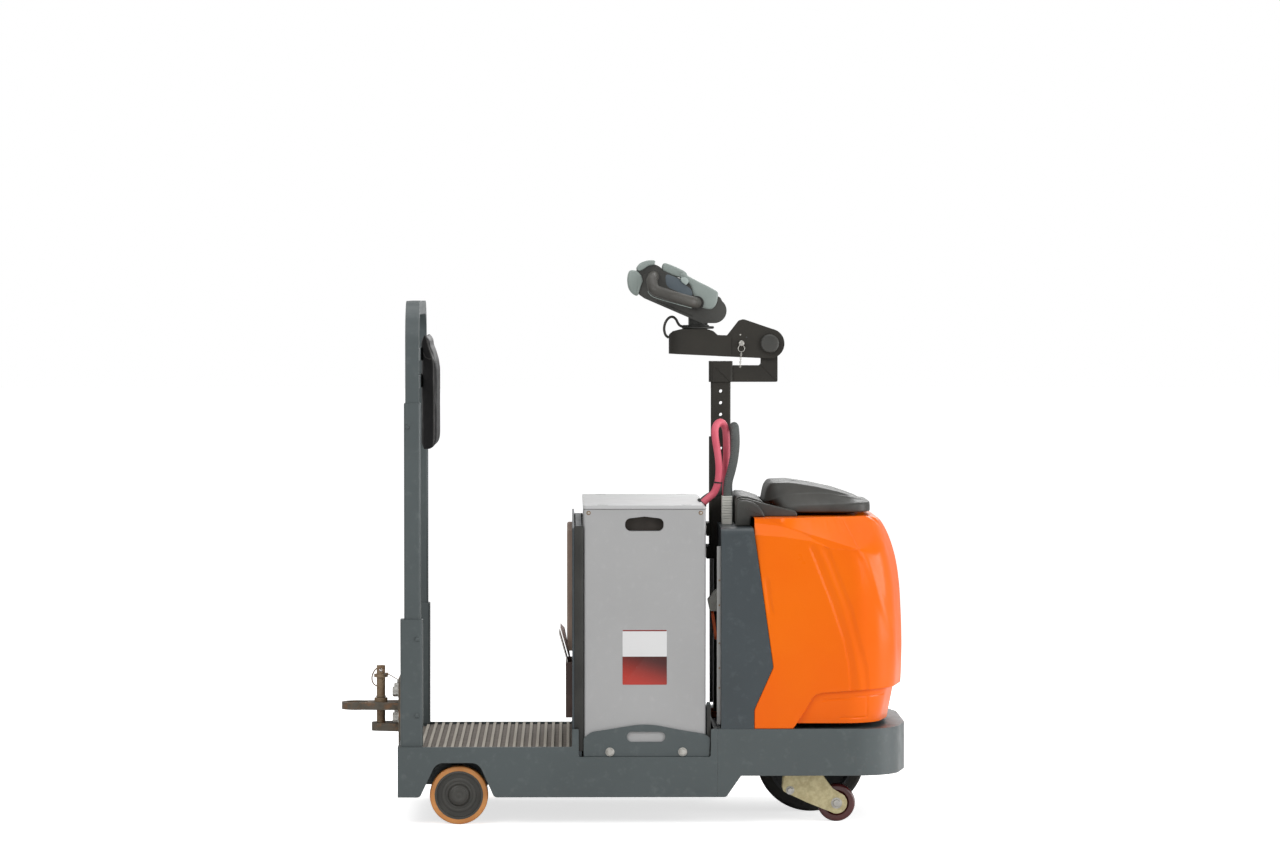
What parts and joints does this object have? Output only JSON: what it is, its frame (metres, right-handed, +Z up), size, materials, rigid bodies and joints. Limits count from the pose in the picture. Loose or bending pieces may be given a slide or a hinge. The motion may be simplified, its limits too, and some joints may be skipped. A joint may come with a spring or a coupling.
{
  "type": "stand-up electric tow tractor",
  "caption": "Stand-up electric tow tractor with standing platform, padded backrest, rear hitch with tow pin, battery bay, orange drive cover and a control handle on a folding arm.",
  "frame": {"origin": "on the floor, at the middle of the overall length and width", "axes": "+X forward towards the drive end, +Y to the machine's left, +Z up"},
  "size_m": [1.73, 0.82, 1.702],
  "materials": {
    "frame_paint": "semi-gloss slate grey paint",
    "panel_paint": "semi-gloss dark slate paint",
    "column_paint": "textured charcoal powder coat",
    "mat_rubber": "ribbed brown-grey rubber mat",
    "pad_vinyl": "black vinyl",
    "leg_pad_rubber": "brown-grey foam rubber",
    "pocket_plastic": "dark brown plastic",
    "paper_sleeve": "clear film over paper",
    "hitch_steel": "weathered steel with light rust",
    "battery_paint": "light grey powder coat",
    "battery_lid_paint": "pale grey powder coat",
    "red_cable": "red cable jacket",
    "dark_sleeve": "dark grey braided sleeve",
    "connector_plastic": "light grey moulded plastic",
    "loop_plastic": "orange moulded loop",
    "cover_orange": "glossy orange moulded cover",
    "black_plastic": "black grained plastic",
    "zinc": "bright zinc",
    "zinc_yellow": "yellow chromate zinc",
    "lead_rubber": "black lead jacket",
    "grip_rubber": "soft charcoal grip",
    "handle_grey": "light grey-green moulded plastic",
    "cast_housing": "dark painted casting",
    "motor_block": "black painted motor",
    "drive_rubber": "black solid tyre",
    "tan_tread": "tan polyurethane tread",
    "hub_black": "black hub",
    "maroon_wheel": "maroon polyurethane wheel"
  },
  "bodies": {
    "chassis": {"rear_frame": "frame_paint", "floor_mat": "mat_rubber", "rear_axle": "frame_paint", "backrest_sleeves": "frame_paint", "backrest_uprights": "frame_paint", "backrest_hoop": "frame_paint", "backrest_pad": "pad_vinyl", "hitch_bracket": "hitch_steel", "hitch_ring": "hitch_steel", "hitch_pin": "hitch_steel", "battery_bulkhead": "panel_paint", "leg_pad": "leg_pad_rubber", "document_pocket": "pocket_plastic", "document_sleeve": "paper_sleeve", "battery_case": "battery_paint", "battery_lid": "battery_lid_paint", "battery_retainers": "frame_paint", "battery_cable_red": "red_cable", "battery_cable_dark": "dark_sleeve", "battery_connector": "connector_plastic", "disconnect_block": "connector_plastic", "disconnect_loop": "loop_plastic", "front_frame": "frame_paint", "front_bulkhead": "panel_paint", "drive_cover": "cover_orange", "dash_console": "black_plastic", "top_tray": "black_plastic", "column_sleeve": "column_paint", "column_post": "column_paint", "column_bracket": "column_paint", "drive_mount": "frame_paint", "caster_mounts": "frame_paint"},
    "arm": {"control_arm": "column_paint", "pivot_knob": "black_plastic", "lock_pin": "zinc", "handle_base": "black_plastic", "handle_lead": "lead_rubber"},
    "handle": {"handle_body": "black_plastic", "handle_cover": "handle_grey", "handle_grips": "grip_rubber", "handle_paddles": "handle_grey"},
    "drive_unit": {"drive_gearbox": "cast_housing", "drive_motor": "motor_block"},
    "drive_wheel": {"drive_tyre": "drive_rubber", "drive_hub": "cast_housing"},
    "rear_wheel_right": {"rear_tyre_right": "tan_tread", "rear_hub_right": "hub_black"},
    "rear_wheel_left": {"rear_tyre_left": "tan_tread", "rear_hub_left": "hub_black"},
    "caster_right": {"caster_fork_right": "zinc_yellow"},
    "caster_left": {"caster_fork_left": "zinc_yellow"},
    "caster_wheel_right": {"caster_wheel_right": "maroon_wheel"},
    "caster_wheel_left": {"caster_wheel_left": "maroon_wheel"}
  },
  "joints": [
    {"name": "rear_wheel_right_spin", "type": "hinge", "parent": "chassis", "child": "rear_wheel_right", "pos_m": [-0.494, -0.357, 0.088], "axis": [0, 1, 0], "continuous": true},
    {"name": "rear_wheel_left_spin", "type": "hinge", "parent": "chassis", "child": "rear_wheel_left", "pos_m": [-0.494, 0.357, 0.088], "axis": [0, 1, 0], "continuous": true},
    {"name": "drive_steer", "type": "hinge", "parent": "chassis", "child": "drive_unit", "pos_m": [0.584, 0, 0.36], "axis": [0, 0, 1], "range_deg": [-90, 90]},
    {"name": "drive_wheel_spin", "type": "hinge", "parent": "drive_unit", "child": "drive_wheel", "pos_m": [0.584, 0, 0.168], "axis": [0, 1, 0], "continuous": true},
    {"name": "caster_right_swivel", "type": "hinge", "parent": "chassis", "child": "caster_right", "pos_m": [0.592, -0.3, 0.19], "axis": [0, 0, 1], "continuous": true},
    {"name": "caster_left_swivel", "type": "hinge", "parent": "chassis", "child": "caster_left", "pos_m": [0.592, 0.3, 0.19], "axis": [0, 0, 1], "continuous": true},
    {"name": "caster_wheel_right_spin", "type": "hinge", "parent": "caster_right", "child": "caster_wheel_right", "pos_m": [0.648, -0.3, 0.057], "axis": [0, 1, 0], "continuous": true},
    {"name": "caster_wheel_left_spin", "type": "hinge", "parent": "caster_left", "child": "caster_wheel_left", "pos_m": [0.648, 0.3, 0.057], "axis": [0, 1, 0], "continuous": true},
    {"name": "arm_tilt", "type": "hinge", "parent": "chassis", "child": "arm", "pos_m": [0.4567, 0, 1.445], "axis": [0, 1, 0], "range_deg": [0, 75]},
    {"name": "handle_turn", "type": "hinge", "parent": "arm", "child": "handle", "pos_m": [0.237, 0, 1.5], "axis": [0, 0, 1], "range_deg": [-90, 90]}
  ],
  "couplings": [
    {"joint": "handle_turn", "follows": "drive_steer", "ratio": 1}
  ]
}
